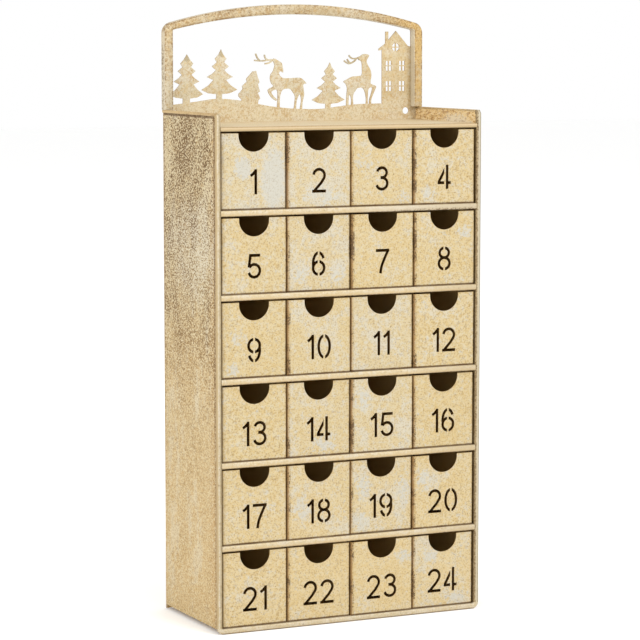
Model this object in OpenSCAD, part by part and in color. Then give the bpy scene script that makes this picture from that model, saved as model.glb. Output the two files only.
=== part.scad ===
// Sheet-metal advent calendar: an open cabinet of small numbered drawers under a cut-out winter scene.
// Millimetres, +Z up, the drawers open towards -Y, origin at the bottom centre.

/* [Drawers] */
// Width of a drawer
drawer_w = 47.25; // [42:0.05:60]
// Height of a drawer
drawer_h = 51.2; // [48:0.1:70]
// Depth of a drawer, front to back
drawer_d = 88.6; // [60:0.1:120]
// Thickness of the drawer sheet
drawer_sheet = 0.6; // [0.4:0.1:0.8]
// Outer radius of the bends at a drawer's upright edges
drawer_bend_r = 1.2; // [1:0.1:4]
// Gap beside each drawer
drawer_gap = 0.8; // [0.6:0.02:2]
// Room above a drawer, under the strip over it
headroom = 1.2; // [0.5:0.1:2]
// How far the drawer fronts sit behind the front beads
front_inset = 1.4; // [0.8:0.1:4]
// How much the closed drawers differ in depth, either way
inset_play = 0.5; // [0:0.1:0.7]
// Free room behind a closed drawer
back_room = 4.2; // [1:0.1:8]

/* [Finger notch] */
// Width of the finger notch
notch_w = 22; // [14:0.5:28]
// Depth of the finger notch below the drawer's top edge
notch_depth = 12.4; // [8:0.1:14]

/* [Numbers] */
// Height of the cut digits
digit_h = 16.7; // [12:0.1:20]
// Width of a digit
digit_w = 10.3; // [8:0.1:12]
// Width of the digit 1
one_w = 5.1; // [4:0.1:6]
// Width of the cut stroke
stroke_w = 2; // [1.2:0.05:2.2]
// Width of the bridges that hold the digits' islands
bridge_w = 1.2; // [0.8:0.1:1.6]
// Space between two digits
digit_space = 2.4; // [1.5:0.1:4]
// Height of the digits above the drawer's lower edge
digit_lift = 10.4; // [6:0.1:12]

/* [Cabinet] */
// Thickness of the cabinet sheet
sheet = 0.8; // [0.5:0.1:1.2]
// Width of the bead that frames the front, up the sides and along the bottom
frame_bead = 3.5; // [3:0.1:5]
// Thickness of every bead, front to back
bead_d = 3.2; // [2.4:0.1:4.5]
// Radius of the beads' rounded edges
bead_r = 1.1; // [0.4:0.1:1.1]
// How far the beads stand out from the side panels
bead_proud = 1.4; // [0.4:0.1:1.8]
// Width of the hem on the side panels' top edges
hem_w = 1.8; // [1.2:0.1:2.2]
// Height of that hem
hem_h = 2; // [1.4:0.1:4]
// Radius of that hem's rounded edges
hem_r = 0.6; // [0.2:0.1:0.6]
// Radius of the side panels' upper front corners
side_corner_r = 3.4; // [2:0.1:8]
// Height of the strip on each shelf's front edge
shelf_strip = 4; // [3:0.1:6]
// Height of the strip on the top panel's front edge
top_strip = 3; // [2.6:0.1:6]
// Height of the side panels above the top panel
tray_h = 9.1; // [9:0.1:20]

/* [Arch and scene] */
// Height of the arch's crown above the side panels
crown_h = 72.7; // [66:0.1:90]
// Outer radius of the shallow crown
crown_r = 358; // [320:1:500]
// Inner radius of the shallow crown
crown_in_r = 410; // [320:1:500]
// Outer radius of the arch's shoulders
shoulder_r = 8; // [4:0.1:14]
// Radius of the arch's inner corners
inner_corner_r = 1.5; // [1:0.1:4]
// Width of the arch's posts
post_w = 6.4; // [4:0.1:9]
// Width of the arch's crown
crown_w = 7; // [5:0.1:10]
// Depth of the arch rim in front of the scene
rim_d = 6; // [3:0.1:9]
// Height of the hill's crest above the tops of the side panels
hill_h = 7.2; // [4:0.1:12]
// Height of the tallest fir
fir_h = 34.2; // [25:0.1:45]
// Width of the tallest fir
fir_w = 27.2; // [20:0.1:32]
// Height of the small fir
small_fir_h = 21.8; // [15:0.1:30]
// Height of the deer, up to the forehead
deer_h = 35; // [28:0.1:40]
// Height of the house above the tops of the side panels
house_h = 54.2; // [40:0.1:56]
// Width of the house
house_w = 23.8; // [18:0.1:28]
// Width of the deer's antlers
antler_w = 1.1; // [0.8:0.1:1.6]
// Width of the bars in the house's windows
pane_bar = 0.8; // [0.6:0.1:1.2]

/* [Hanging holes] */
// Diameter of a hanging hole
hole_d = 4.8; // [3:0.1:5]
// Distance of a hole from the cabinet's outer side
hole_inset = 10.3; // [9.9:0.1:16]
// Distance of a hole below the tops of the side panels
hole_drop = 2.9; // [2.6:0.1:4.5]

/* [Hidden] */
columns = 4;
rows = 6;
// How far each row of drawers has been nudged to the left, as a share of the gap, top row first
row_nudge = [0.8, 0.1, 0.3, 0.4, 0.9, 0.5];
// Steps of each curved stretch of a digit, and of each span of a figure's outline
arc_steps = 12;
span_steps = 3;
// Overshoot of the cutting shapes, past the faces that they cut
cut = 1;
$fn = 64;

cabinet_w = columns * drawer_w + (columns + 1) * drawer_gap + 2 * frame_bead;
cabinet_d = front_inset + drawer_d + back_room + sheet;
front_y = -cabinet_d / 2;
back_y = cabinet_d / 2 - sheet;
row_pitch = drawer_h + headroom + shelf_strip;
panel_top = frame_bead + rows * row_pitch - shelf_strip + top_strip;
side_h = panel_top + tray_h;
side_in = cabinet_w / 2 - bead_proud - sheet;
bead_in = cabinet_w / 2 - frame_bead;
crown_z = side_h + crown_h;
arch_in = cabinet_w / 2 - post_w;
// Outer radius of the frame bead's corners: the inner one stays within the gap beside a drawer
frame_corner_r = frame_bead + 0.9 * drawer_gap;

function two_digits(n) = n < 10 ? str("0", n) : str(n);
function drawer_name(n, piece) = str("drawer_", two_digits(n), "_", piece);

gold = [0.87, 0.78, 0.6];
pale_gold = [0.9, 0.83, 0.69];
worn_gold = [0.68, 0.58, 0.42];
dark_inside = [0.2, 0.14, 0.08];

// Rectangle with round corners, from its lower left corner
module round_square(size, r) {
    translate([r, 0]) square([size.x - 2 * r, size.y]);
    translate([0, r]) square([size.x, size.y - 2 * r]);
    for (x = [r, size.x - r])
        for (y = [r, size.y - r])
            translate([x, y]) circle(r);
}

// Points along part of an ellipse
function arc(centre, rx, ry, from, to) =
    [for (i = [0:arc_steps])
        let (a = from + (to - from) * i / arc_steps)
        centre + [rx * cos(a), ry * sin(a)]];

// One span of a smooth curve from b to c, with a and d as their neighbours
function blend(a, b, c, d, t) =
    0.5 * (2 * b + (c - a) * t + (2 * a - 5 * b + 4 * c - d) * t * t + (3 * b - a - 3 * c + d) * t * t * t);

// Smooth closed curve through all points
function closed_curve(p) =
    let (n = len(p))
    [for (i = [0:n - 1]) for (k = [0:span_steps - 1])
        blend(p[(i + n - 1) % n], p[i], p[(i + 1) % n], p[(i + 2) % n], k / span_steps)];

// Smooth open curve through all points
function open_curve(p) =
    let (last = len(p) - 1)
    concat(
        [for (i = [0:last - 1]) for (k = [0:span_steps - 1])
            blend(p[max(i - 1, 0)], p[i], p[i + 1], p[min(i + 2, last)], k / span_steps)],
        [p[last]]
    );

// Side step from the middle of a path to the edge of its stroke, at point i
function side_step(path, i, w) =
    let (along = path[min(i + 1, len(path) - 1)] - path[max(i - 1, 0)])
    [-along.y, along.x] / norm(along) * w / 2;

// Stroke of even width along a path
module stroke(path, w = stroke_w) {
    last = len(path) - 1;
    polygon(concat(
        [for (i = [0:last]) path[i] + side_step(path, i, w)],
        [for (i = [last:-1:0]) path[i] - side_step(path, i, w)]
    ));
}

function ink_w(digit) = digit == 1 ? one_w : digit_w;

// Digits, each from the lower left corner of its own box
half_stroke = stroke_w / 2;
mid_x = digit_w / 2;
round_x = mid_x - half_stroke;
bar_top = digit_h - half_stroke;

module bridges(from = 0, to = digit_h) {
    translate([mid_x - bridge_w / 2, from - cut]) square([bridge_w, to - from + 2 * cut]);
}

module ring_halves(centre, rx, ry) {
    stroke(arc(centre, rx, ry, 90, 270));
    stroke(arc(centre, rx, ry, -90, 90));
}

module digit_0() {
    difference() {
        ring_halves([mid_x, digit_h / 2], round_x, digit_h / 2 - half_stroke);
        bridges();
    }
}

module digit_1() {
    stem_x = one_w - half_stroke;
    stroke([[stem_x, 0], [stem_x, digit_h]]);
    stroke([[one_w * 0.06, digit_h * 0.74], [one_w * 0.4, digit_h * 0.81], [stem_x, bar_top]]);
}

module digit_2() {
    bowl = arc([mid_x, bar_top - round_x], round_x, round_x, 172, -22);
    stroke(concat(bowl, [[digit_w * 0.66, digit_h * 0.4], [half_stroke * 1.4, half_stroke]]));
    stroke([[0, half_stroke], [digit_w, half_stroke]]);
}

module digit_3() {
    upper_r = (digit_h - stroke_w) * 0.23;
    lower_r = (digit_h - stroke_w) / 2 - upper_r;
    stroke(arc([mid_x, bar_top - upper_r], round_x * 0.88, upper_r, 165, -105));
    stroke(arc([mid_x, half_stroke + lower_r], round_x, lower_r, 105, -165));
}

module digit_4() {
    stem_x = digit_w * 0.72;
    bar_z = digit_h * 0.26;
    island_x = stem_x - half_stroke - bridge_w;
    stroke([[stem_x, 0], [stem_x, digit_h]]);
    stroke([[stem_x, bar_z], [digit_w, bar_z]]);
    intersection() {
        union() {
            stroke([[half_stroke * 0.6, bar_z], [stem_x, digit_h]]);
            stroke([[0, bar_z], [stem_x, bar_z]]);
        }
        translate([0, bar_z - half_stroke]) square([island_x, digit_h]);
    }
}

module digit_5() {
    bowl_r = digit_h * 0.32 - half_stroke;
    stroke([[digit_w * 0.2, bar_top], [digit_w * 0.93, bar_top]]);
    stroke([[digit_w * 0.24, digit_h], [digit_w * 0.12, digit_h * 0.46]]);
    stroke(arc([mid_x, half_stroke + bowl_r], round_x, bowl_r, 148, -165));
}

module digit_6() {
    bowl_r = digit_h * 0.32 - half_stroke;
    difference() {
        union() {
            ring_halves([mid_x, half_stroke + bowl_r], round_x, bowl_r);
            stroke(arc([mid_x, digit_h / 2], round_x, digit_h / 2 - half_stroke, 190, 28));
        }
        bridges();
    }
}

module digit_7() {
    stroke([[0, bar_top], [digit_w, bar_top]]);
    stroke(open_curve([
        [digit_w - half_stroke, bar_top],
        [digit_w * 0.62, digit_h * 0.58],
        [digit_w * 0.42, digit_h * 0.28],
        [digit_w * 0.34, 0]
    ]));
}

module digit_8() {
    upper_r = (digit_h - stroke_w) * 0.23;
    lower_r = (digit_h - stroke_w) / 2 - upper_r;
    difference() {
        union() {
            ring_halves([mid_x, bar_top - upper_r], round_x * 0.86, upper_r);
            ring_halves([mid_x, half_stroke + lower_r], round_x, lower_r);
        }
        bridges(0, stroke_w);
        bridges(digit_h - stroke_w, digit_h);
    }
}

module digit_9() {
    translate([digit_w, digit_h]) rotate(180) digit_6();
}

module digit(d) {
    if (d == 0) digit_0();
    if (d == 1) digit_1();
    if (d == 2) digit_2();
    if (d == 3) digit_3();
    if (d == 4) digit_4();
    if (d == 5) digit_5();
    if (d == 6) digit_6();
    if (d == 7) digit_7();
    if (d == 8) digit_8();
    if (d == 9) digit_9();
}

// Number of one or two digits, centred on x = 0
module number(n) {
    tens = floor(n / 10);
    ones = n % 10;
    lead_w = tens > 0 ? ink_w(tens) + digit_space : 0;
    left = -(lead_w + ink_w(ones)) / 2;
    if (tens > 0) translate([left, 0]) digit(tens);
    translate([left + lead_w, 0]) digit(ones);
}

// Drawer places: drawer 1 is at the top left
function row_of(n) = floor((n - 1) / columns);
function column_of(n) = (n - 1) % columns;
function nudge_of(n) = row_nudge[row_of(n)] * drawer_gap * column_of(n) / columns;
function drawer_x(n) = (column_of(n) - (columns - 1) / 2) * (drawer_w + drawer_gap) - nudge_of(n);
function drawer_y(n) = front_y + front_inset + inset_play * sin(137 * n);
function drawer_z(n) = frame_bead + (rows - 1 - row_of(n)) * row_pitch;

module at_drawer(n) {
    translate([drawer_x(n), drawer_y(n), drawer_z(n)]) children();
}

// Cut through the front sheet of a drawer, drawn on the front as x and z
module through_front() {
    translate([0, drawer_sheet + cut / 2, 0]) rotate([90, 0, 0])
        linear_extrude(drawer_sheet + cut) children();
}

// Front, sides and back of one drawer, bent from one strip
module drawer_wall(n) {
    inner_r = drawer_bend_r - drawer_sheet;
    inner_size = [drawer_w - 2 * drawer_sheet, drawer_d - 2 * drawer_sheet];
    color(gold) at_drawer(n) difference() {
        linear_extrude(drawer_h) difference() {
            translate([-drawer_w / 2, 0]) round_square([drawer_w, drawer_d], drawer_bend_r);
            translate([-drawer_w / 2, 0] + [drawer_sheet, drawer_sheet]) round_square(inner_size, inner_r);
        }
        through_front() translate([0, drawer_h - notch_depth + notch_w / 2]) {
            circle(notch_w / 2);
            translate([-notch_w / 2, 0]) square([notch_w, notch_depth + cut]);
        }
        through_front() translate([0, digit_lift]) number(n);
    }
}

// Base plate inside the wall, with its corners clear of the bends
module drawer_base(n) {
    size = [drawer_w - 2 * drawer_sheet, drawer_d - 2 * drawer_sheet];
    color(dark_inside) at_drawer(n)
        translate([-size.x / 2, drawer_sheet, 0])
            linear_extrude(drawer_sheet) round_square(size, drawer_bend_r);
}

// Cross-section of the bead that frames the front, from its outer front corner
module frame_bead_section() {
    round_square([frame_bead, bead_d], bead_r);
}

// Side panel with its bead up the front edge and its hem along the top
module side_panel() {
    corner = frame_corner_r;
    foot_z = frame_bead - sheet;
    sheet_y = front_y + bead_d / 2;
    difference() {
        union() {
            // Sheet
            translate([-side_in - sheet, sheet_y, foot_z])
                cube([sheet, back_y - sheet_y, side_h - hem_h / 2 - foot_z]);
            // Bead up the front
            translate([-cabinet_w / 2, front_y, corner])
                linear_extrude(side_h - corner) frame_bead_section();
            // Hem, level with the sheet on the inside
            translate([-side_in - hem_w, back_y, side_h - hem_h]) rotate([90, 0, 0])
                linear_extrude(back_y - sheet_y) round_square([hem_w, hem_h], hem_r);
        }
        // Upper front corner, cut round
        translate([-cabinet_w / 2 - cut, front_y + side_corner_r, side_h - side_corner_r])
            rotate([90, 0, 90]) linear_extrude(frame_bead + 2 * cut) difference() {
                translate([-side_corner_r - cut, 0]) square([side_corner_r + cut, side_corner_r + cut]);
                circle(side_corner_r);
            }
    }
    // Bead round the lower corner, towards the bottom panel
    translate([-cabinet_w / 2 + corner, front_y, corner]) rotate([-90, 90, 0])
        rotate_extrude(angle = 90) translate([corner - frame_bead, 0]) frame_bead_section();
}

module left_side() {
    color(worn_gold) side_panel();
}

module right_side() {
    color(worn_gold) mirror([1, 0, 0]) side_panel();
}

// Panel across the cabinet, its upper face at z = top, with a strip under its front edge
module cross_panel(top, strip, strip_half_w) {
    translate([0, 0, top - sheet]) linear_extrude(sheet) {
        translate([-side_in, front_y + bead_d]) square([2 * side_in, back_y - front_y - bead_d]);
        translate([-strip_half_w, front_y + bead_d / 2]) square([2 * strip_half_w, bead_d]);
    }
    translate([-strip_half_w, front_y, top - strip]) rotate([90, 0, 90])
        linear_extrude(2 * strip_half_w) round_square([bead_d, strip], bead_r);
}

module bottom_panel() {
    color(pale_gold) cross_panel(frame_bead, frame_bead, cabinet_w / 2 - frame_corner_r);
}

module top_panel() {
    color(pale_gold) cross_panel(panel_top, top_strip, bead_in);
}

module shelf(i) {
    color(pale_gold) cross_panel(frame_bead + (rows - i) * row_pitch, shelf_strip, bead_in);
}

// Filled arch: straight sides at x = +-half_w, round shoulders and a shallow crown
module arch_shape(half_w, shoulder, radius, top_z, from_z) {
    middle_z = top_z - radius;
    shoulder_x = half_w - shoulder;
    shoulder_z = middle_z + sqrt(pow(radius - shoulder, 2) - pow(shoulder_x, 2));
    meet_x = shoulder_x * radius / (radius - shoulder);
    translate([-half_w, from_z]) square([2 * half_w, shoulder_z - from_z]);
    for (side = [-1, 1])
        translate([side * shoulder_x, shoulder_z]) circle(shoulder);
    intersection() {
        translate([0, middle_z]) circle(radius);
        translate([-meet_x, from_z]) square([2 * meet_x, top_z - from_z]);
    }
}

module arch_hole(from_z) {
    arch_shape(arch_in, inner_corner_r, crown_in_r, crown_z - crown_w, from_z);
}

// Bent bar in front of the edge of the scene, standing on the side panels
module arch_rim() {
    color(gold) translate([0, back_y, 0]) rotate([90, 0, 0]) linear_extrude(rim_d) difference() {
        arch_shape(cabinet_w / 2, shoulder_r, crown_r, crown_z, side_h);
        arch_hole(side_h - cut);
    }
}

// One shape cut out of the back sheet
module cut_sheet() {
    linear_extrude(sheet) children();
}

// Winter scene: x is counted from the middle, z from the tops of the side panels
scene_floor = -0.9 * tray_h;
// Crest of the hill, as shares of the half width inside the arch and of the hill's height
hill_points = [
    [-1.03, 0.39], [-0.8, 0.72], [-0.61, 1], [-0.4, 0.74], [-0.2, 0.24], [0, -0.04],
    [0.22, -0.125], [0.4, 0.125], [0.58, 0.32], [1.03, 0.375]
];
hill_line = open_curve([for (p = hill_points) [p.x * arch_in, p.y * hill_h]]);
function hill_z(x) = lookup(x, hill_line);

module hill() {
    ends = [hill_line[len(hill_line) - 1].x, hill_line[0].x];
    cut_sheet() polygon(concat(hill_line, [for (x = ends) [x, scene_floor]]));
}

// Right half of a fir's outline, as shares of its half width and height, from inside the hill to the tip
fir_half = [
    [0.16, -0.05], [0.16, 0.09], [0.6, 0.11], [1, 0.18], [0.62, 0.27], [0.35, 0.38],
    [0.73, 0.44], [0.42, 0.51], [0.23, 0.58], [0.47, 0.655], [0.2, 0.74], [0.32, 0.81], [0.12, 0.9]
];

// Fir of height h and width w; lean sets its tip aside, and slim below 1 fills out the upper branches
module fir(h, w, lean, slim = 1) {
    right = [for (p = fir_half) [(pow(p.x, slim) + lean * p.y) * w / 2, p.y * h]];
    left = [for (i = [len(fir_half) - 1:-1:0])
        let (p = fir_half[i])
        [(lean * p.y - pow(p.x, slim)) * w / 2, p.y * h]];
    cut_sheet() polygon(concat(right, [[lean * w / 2, h]], left));
}

module small_fir() {
    cut_sheet() polygon(small_fir_h * [
        [-0.275, -0.138], [-0.284, 0.073], [-0.394, 0.193], [-0.39, 0.266], [-0.243, 0.422],
        [-0.266, 0.514], [-0.096, 0.661], [-0.124, 0.739], [0.106, 0.982], [0.229, 1],
        [0.266, 0.853], [0.344, 0.638], [0.294, 0.573], [0.358, 0.335], [0.289, 0.289],
        [0.367, 0.119], [0.303, 0.046], [0.275, -0.138]
    ]);
}

// Outlines of the deer and their antlers, as shares of the deer's height
module deer_body(points) {
    cut_sheet() polygon(deer_h * closed_curve(points));
}

module antler(path) {
    cut_sheet() stroke(deer_h * open_curve(path), antler_w);
}

// Standing deer that looks back over its shoulder, one front leg raised
module deer_looking_back() {
    deer_body([
        [-0.091, 0.72], [-0.103, 0.817], [-0.126, 0.903], [-0.2, 0.951], [-0.297, 0.997],
        [-0.314, 0.949], [-0.283, 0.857], [-0.32, 0.743], [-0.371, 0.674], [-0.383, 0.583],
        [-0.354, 0.497], [-0.309, 0.44], [-0.417, 0.386], [-0.431, 0.337], [-0.366, 0.229],
        [-0.257, 0.151], [-0.24, 0.186], [-0.311, 0.249], [-0.354, 0.331], [-0.237, 0.371],
        [-0.217, 0.246], [-0.223, 0.114], [-0.229, -0.034], [-0.177, -0.034], [-0.171, 0.143],
        [-0.149, 0.291], [-0.091, 0.374], [0.051, 0.386], [0.12, 0.32], [0.169, 0.234],
        [0.16, 0.114], [0.143, -0.046], [0.189, -0.046], [0.203, 0.131], [0.243, 0.234],
        [0.274, 0.277], [0.3, 0.223], [0.306, 0.131], [0.277, -0.046], [0.323, -0.046],
        [0.337, 0.114], [0.371, 0.251], [0.366, 0.343], [0.351, 0.457], [0.383, 0.486],
        [0.426, 0.491], [0.383, 0.537], [0.331, 0.583], [0.257, 0.609], [0.057, 0.6],
        [-0.109, 0.609], [-0.177, 0.674], [-0.177, 0.729], [-0.131, 0.731]
    ]);
    antler([[-0.274, 0.971], [-0.4, 0.966], [-0.571, 0.949], [-0.731, 0.96]]);
    antler([[-0.606, 0.949], [-0.663, 1.011], [-0.7, 1.094]]);
    antler([[-0.429, 0.963], [-0.486, 1.006], [-0.506, 1.071]]);
    antler([[-0.314, 0.969], [-0.4, 0.911], [-0.5, 0.891]]);
}

// Standing deer with its head held high, one front leg raised
module deer_looking_up() {
    deer_body([
        [0.229, 0.989], [0.154, 1.017], [0.074, 1.006], [0.02, 0.96], [-0.017, 0.903],
        [0.054, 0.863], [0.071, 0.731], [0.063, 0.594], [-0.017, 0.571], [-0.149, 0.56],
        [-0.274, 0.503], [-0.351, 0.46], [-0.297, 0.406], [-0.269, 0.326], [-0.28, 0.2],
        [-0.286, 0.086], [-0.286, -0.034], [-0.24, -0.034], [-0.234, 0.126], [-0.214, 0.194],
        [-0.183, 0.143], [-0.174, 0.069], [-0.174, -0.034], [-0.131, -0.034], [-0.137, 0.103],
        [-0.126, 0.2], [-0.074, 0.28], [-0.023, 0.329], [0.091, 0.32], [0.143, 0.217],
        [0.163, 0.086], [0.157, -0.034], [0.2, -0.034], [0.2, 0.114], [0.217, 0.303],
        [0.303, 0.331], [0.277, 0.206], [0.237, 0.086], [0.24, -0.034], [0.28, -0.034],
        [0.283, 0.097], [0.349, 0.251], [0.391, 0.36], [0.274, 0.411], [0.269, 0.486],
        [0.283, 0.586], [0.263, 0.686], [0.203, 0.794], [0.171, 0.869], [0.2, 0.931]
    ]);
    antler([[0.04, 0.96], [-0.046, 0.929], [-0.114, 0.866], [-0.229, 0.823], [-0.34, 0.883]]);
    antler([[-0.177, 0.831], [-0.229, 0.857], [-0.269, 0.914]]);
    antler([[-0.04, 0.931], [-0.154, 0.926], [-0.231, 0.991]]);
}

module window(centre, size) {
    pane = [size.x - pane_bar, size.y - pane_bar] / 2;
    for (x = [-1, 1])
        for (z = [-1, 1])
            translate(centre + [x * (pane.x + pane_bar) / 2, z * (pane.y + pane_bar) / 2])
                square(pane, center = true);
}

module round_window(centre, r) {
    translate(centre) difference() {
        circle(r);
        square([2 * r + cut, pane_bar], center = true);
        square([pane_bar, 2 * r + cut], center = true);
    }
}

// Tall house with a pitched roof and a chimney, its right wall behind the arch
module house() {
    wall_x = [-0.47, 0.53] * house_w;
    outline = [
        [-0.47, 0.749], [-0.571, 0.742], [-0.584, 0.764], [-0.353, 0.834], [-0.353, 0.991], [-0.256, 0.991],
        [-0.256, 0.878], [0, 1], [0.403, 0.804], [0.53, 0.79]
    ];
    cut_sheet() difference() {
        polygon(concat(
            [[wall_x[1], scene_floor], [wall_x[0], scene_floor]],
            [for (p = outline) [p.x * house_w, p.y * house_h]]
        ));
        round_window([-0.008 * house_w, 0.786 * house_h], 0.122 * house_w);
        for (x = [-0.244, 0.206])
            for (z = [0.273, 0.541])
                window([x * house_w, z * house_h], [0.185 * house_w, 0.129 * house_h]);
    }
}

module on_hill(x) {
    translate([x, hill_z(x), 0]) children();
}

module scene() {
    hill();
    on_hill(0.45 * fir_w - arch_in) fir(0.98 * fir_h, 0.92 * fir_w, 0.05, 0.85);
    on_hill(-0.605 * arch_in) fir(fir_h, fir_w, 0.12);
    on_hill(-0.355 * arch_in) small_fir();
    on_hill(-0.044 * arch_in) deer_looking_back();
    on_hill(0.295 * arch_in) fir(0.94 * fir_h, 0.95 * fir_w, 0.12);
    on_hill(0.558 * arch_in) deer_looking_up();
    translate([arch_in - house_w / 2, 0, 0]) house();
}

// One sheet behind everything, which goes on above the cabinet as the scene
module back_panel() {
    edge = bead_proud;
    color(gold) difference() {
        translate([0, back_y + sheet, 0]) rotate([90, 0, 0]) {
            cut_sheet() difference() {
                arch_shape(cabinet_w / 2 - edge, shoulder_r - edge, crown_r - edge, crown_z - edge, 0);
                arch_hole(side_h + scene_floor);
            }
            translate([0, side_h, 0]) scene();
        }
        for (side = [-1, 1])
            translate([side * (cabinet_w / 2 - hole_inset), back_y - cut, side_h - hole_drop])
                rotate([-90, 0, 0]) cylinder(d = hole_d, h = sheet + 2 * cut);
    }
}

left_side();
right_side();
bottom_panel();
top_panel();
back_panel();
arch_rim();
for (i = [1:rows - 1])
    shelf(i);
for (n = [1:rows * columns]) {
    drawer_wall(n);
    drawer_base(n);
}
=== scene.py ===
import math
import random
import bpy
import bmesh
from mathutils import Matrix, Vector


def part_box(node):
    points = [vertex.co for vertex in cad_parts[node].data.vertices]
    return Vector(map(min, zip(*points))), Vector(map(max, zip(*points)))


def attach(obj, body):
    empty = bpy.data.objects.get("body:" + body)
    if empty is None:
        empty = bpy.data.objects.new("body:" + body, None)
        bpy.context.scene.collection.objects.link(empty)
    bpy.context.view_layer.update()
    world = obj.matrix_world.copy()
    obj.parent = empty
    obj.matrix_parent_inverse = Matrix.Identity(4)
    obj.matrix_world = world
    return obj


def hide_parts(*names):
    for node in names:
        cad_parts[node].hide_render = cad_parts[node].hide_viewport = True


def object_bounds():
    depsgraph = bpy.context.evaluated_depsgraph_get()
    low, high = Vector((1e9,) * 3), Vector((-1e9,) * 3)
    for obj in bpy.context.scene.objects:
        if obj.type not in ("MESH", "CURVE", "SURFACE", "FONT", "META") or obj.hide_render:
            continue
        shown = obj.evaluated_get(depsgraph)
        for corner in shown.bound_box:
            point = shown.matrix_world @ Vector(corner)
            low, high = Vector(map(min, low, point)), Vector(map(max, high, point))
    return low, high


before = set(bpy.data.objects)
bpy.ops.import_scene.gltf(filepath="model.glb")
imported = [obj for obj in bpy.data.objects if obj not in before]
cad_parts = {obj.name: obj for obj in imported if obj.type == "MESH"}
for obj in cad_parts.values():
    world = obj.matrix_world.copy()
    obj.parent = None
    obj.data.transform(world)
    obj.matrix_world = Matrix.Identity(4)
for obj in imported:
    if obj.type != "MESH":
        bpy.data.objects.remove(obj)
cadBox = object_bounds()
scene = bpy.context.scene
mm = 0.001
low, high = (corner / mm for corner in cadBox)  # the object's corners in mm, as all sizes below
print("frame loaded:", len(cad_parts), "solids")


# camera

view = {"place": (-0.8052, -1.6749, 0.4036), "yaw": 25.644, "pitch": -6.131, "lens": 150.96, "sensor": 36}

photoLens = bpy.data.cameras.new("photoCamera")
photoLens.sensor_width = view["sensor"]
photoLens.lens = view["lens"]
camera = bpy.data.objects.new("photoCamera", photoLens)
camera.location = view["place"]
camera.rotation_euler = (math.radians(90 + view["pitch"]), 0, math.radians(-view["yaw"]))
scene.collection.objects.link(camera)
scene.camera = camera
print("camera set")


# node building: a wire is one output socket that can be used in sums

class Wire:
    def __init__(self, graph, socket):
        self.graph, self.socket = graph, socket

    def calc(self, operation, a, b=0.0):
        return self.graph.node("ShaderNodeMath", {"operation": operation}, {0: a, 1: b})

    def __add__(self, other):
        return self.calc("ADD", self, other)

    def __radd__(self, other):
        return self.calc("ADD", other, self)

    def __sub__(self, other):
        return self.calc("SUBTRACT", self, other)

    def __rsub__(self, other):
        return self.calc("SUBTRACT", other, self)

    def __mul__(self, other):
        return self.calc("MULTIPLY", self, other)

    def __rmul__(self, other):
        return self.calc("MULTIPLY", other, self)

    def __truediv__(self, other):
        return self.calc("DIVIDE", self, other)

    def __gt__(self, other):
        return self.calc("GREATER_THAN", self, other)

    def __lt__(self, other):
        return self.calc("LESS_THAN", self, other)

    def __abs__(self):
        return self.calc("ABSOLUTE", self)

    def least(self, other):
        return self.calc("MINIMUM", self, other)

    def most(self, other):
        return self.calc("MAXIMUM", self, other)

    def root(self):
        return self.calc("SQRT", self)

    def frayed(self, noise, reach):  # a measure made ragged by a noise, whose middle is 0.5
        return self + (noise - 0.5) * reach

    def out(self, name):  # another output of the same node
        return Wire(self.graph, self.socket.node.outputs[name])


class Graph:
    def __init__(self, tree):
        self.tree = tree

    def node(self, kind, settings=None, sockets=None, out=0):
        made = self.tree.nodes.new(kind)
        for name, value in (settings or {}).items():
            setattr(made, name, value)
        for name, value in (sockets or {}).items():
            if isinstance(value, Wire):
                self.tree.links.new(value.socket, made.inputs[name])
            else:
                made.inputs[name].default_value = value
        return Wire(self, made.outputs[out]) if len(made.outputs) else made


tones = {"shade": (0.62, 0.608, 0.578)}  # tones are written as they look in the studio light, which is bright


def paint(*tone):
    linear = [((c / 255 + 0.055) / 1.055) ** 2.4 for c in tone]  # from sRGB
    return tuple(c * s for c, s in zip(linear, tones["shade"])) + (1.0,)


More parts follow.
